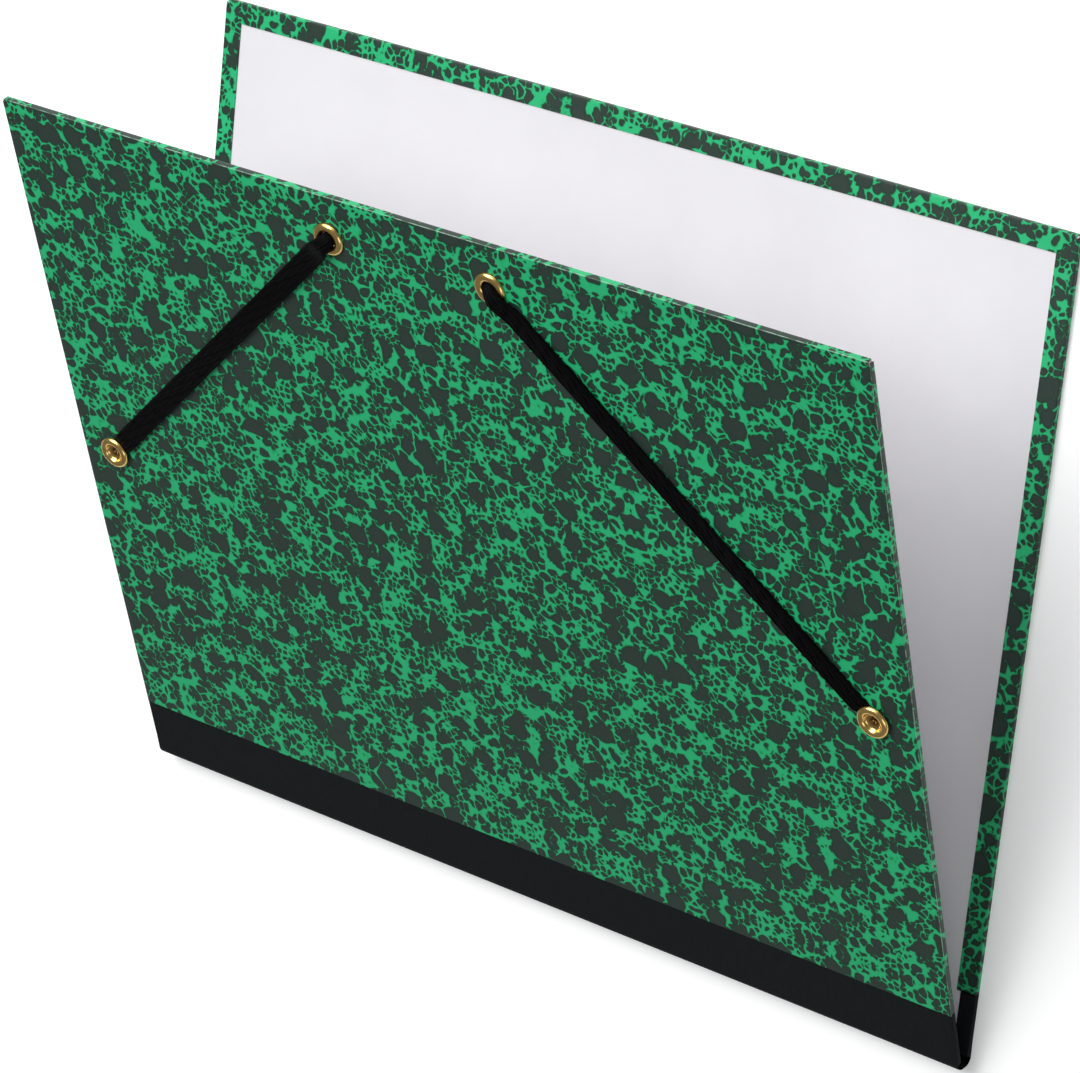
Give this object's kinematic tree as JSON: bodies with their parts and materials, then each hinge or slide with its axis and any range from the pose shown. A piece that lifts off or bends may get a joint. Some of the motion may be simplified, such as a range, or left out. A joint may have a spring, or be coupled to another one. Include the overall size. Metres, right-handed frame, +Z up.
{
  "type": "drawing portfolio",
  "caption": "Drawing portfolio of stiff marbled paper covers on a black cloth spine, with brass eyelets and a black corner elastic, standing open a little.",
  "frame": {"origin": "on the surface that the back cover lies on, under the middle of the whole portfolio", "axes": "+X along the spine, +Y from the spine to the fore edge, +Z up from the back cover to the front cover"},
  "size_m": [0.33, 0.2638, 0.1047],
  "materials": {
    "grey_board": "raw grey board, hidden inside the covering",
    "white_lining": "smooth matt white paper",
    "marbled_paper": "green and black marbled paper with a satin varnish",
    "black_bookcloth": "fine woven book cloth, matt black",
    "brass": "polished yellow brass",
    "black_elastic": "flat woven elastic with ribs along it"
  },
  "bodies": {
    "back_cover": {"back_board": "grey_board", "back_lining": "white_lining", "back_cover_paper": "marbled_paper", "spine_cloth_back": "black_bookcloth"},
    "front_cover": {"front_board": "grey_board", "front_lining": "white_lining", "front_cover_paper": "marbled_paper", "spine_cloth_front": "black_bookcloth", "eyelet_top_left": "brass", "eyelet_top_right": "brass", "eyelet_side_left": "brass", "eyelet_side_right": "brass", "elastic_band": "black_elastic"}
  },
  "joints": [
    {"name": "spine_fold", "type": "hinge", "parent": "back_cover", "child": "front_cover", "pos_m": [0, -0.13164, 0.00315], "axis": [1, 0, 0], "range_deg": [-22, 158]}
  ]
}
